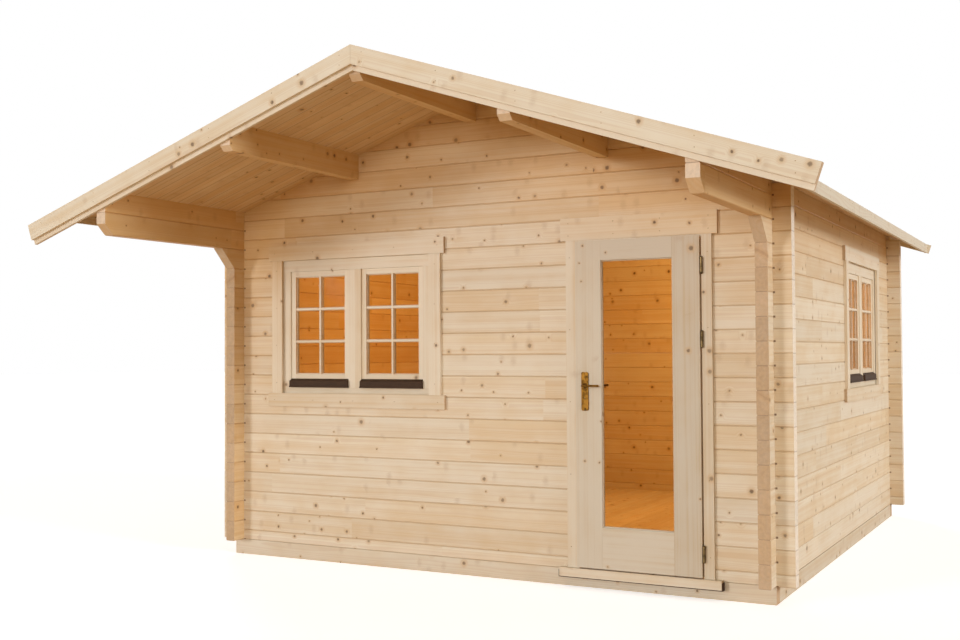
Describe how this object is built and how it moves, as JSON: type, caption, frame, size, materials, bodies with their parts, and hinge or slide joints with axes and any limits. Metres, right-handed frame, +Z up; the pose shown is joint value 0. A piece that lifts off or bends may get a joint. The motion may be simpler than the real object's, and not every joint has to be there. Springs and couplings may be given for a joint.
{
  "type": "outdoor sauna",
  "caption": "Log cabin sauna with interlocked corner logs, a deep front canopy, a glazed door that swings out, and wooden casement windows.",
  "frame": {"origin": "on the ground, at the middle of the building's box in plan", "axes": "+Z up; +Y from the canopy to the back wall; +X to the right as one faces the door"},
  "size_m": [4.825, 5.378, 2.994],
  "materials": {
    "log_wood": "planed pale spruce",
    "roof_wood": "planed spruce boards",
    "trim_wood": "planed pale spruce",
    "ground_wood": "planed spruce",
    "drip_rail": "dark brown stain",
    "glass": "clear",
    "brass": "polished",
    "dark_metal": "dark satin"
  },
  "bodies": {
    "cabin": {"foundation_beams": "ground_wood", "floor_boards": "ground_wood", "front_logs_under_window": "log_wood", "front_logs_left_of_window": "log_wood", "front_logs_beside_door": "log_wood", "front_logs_right_of_door": "log_wood", "front_logs_over_door": "log_wood", "front_gable_logs": "log_wood", "back_logs": "log_wood", "back_gable_logs": "log_wood", "left_logs": "log_wood", "left_canopy_logs": "log_wood", "right_logs_under_window": "log_wood", "right_logs_front_of_window": "log_wood", "right_logs_behind_window": "log_wood", "right_corbel_log": "log_wood", "right_canopy_logs": "log_wood", "ridge_purlin": "roof_wood", "left_purlin": "roof_wood", "right_purlin": "roof_wood", "left_roof_boards": "roof_wood", "right_roof_boards": "roof_wood", "front_verge_boards": "trim_wood", "front_verge_backing": "trim_wood", "back_verge_boards": "trim_wood", "eave_fascias": "trim_wood", "door_frame": "trim_wood", "door_head_casing": "trim_wood", "door_sill": "trim_wood", "door_hinge_pins": "dark_metal", "front_window_frame": "trim_wood", "front_window_sashes": "trim_wood", "front_window_glass": "glass", "front_window_drip_rails": "drip_rail", "front_window_casing": "trim_wood", "side_window_frame": "trim_wood", "side_window_sashes": "trim_wood", "side_window_glass": "glass", "side_window_drip_rails": "drip_rail", "side_window_casing": "trim_wood"},
    "door": {"door_leaf": "trim_wood", "door_glass": "glass", "door_hinge_knuckles": "dark_metal", "door_handle_plates": "brass"},
    "lever": {"door_lever": "brass"}
  },
  "joints": [
    {"name": "door_hinge", "type": "hinge", "parent": "cabin", "child": "door", "pos_m": [1.4755, -1.4005, 1], "axis": [0, 0, 1], "range_deg": [0, 110]},
    {"name": "lever_turn", "type": "hinge", "parent": "door", "child": "lever", "pos_m": [0.771, -1.384, 1.18], "axis": [0, 1, 0], "range_deg": [0, 40], "stiffness_Nm_per_rad": 2, "springref_deg": -28.65}
  ]
}
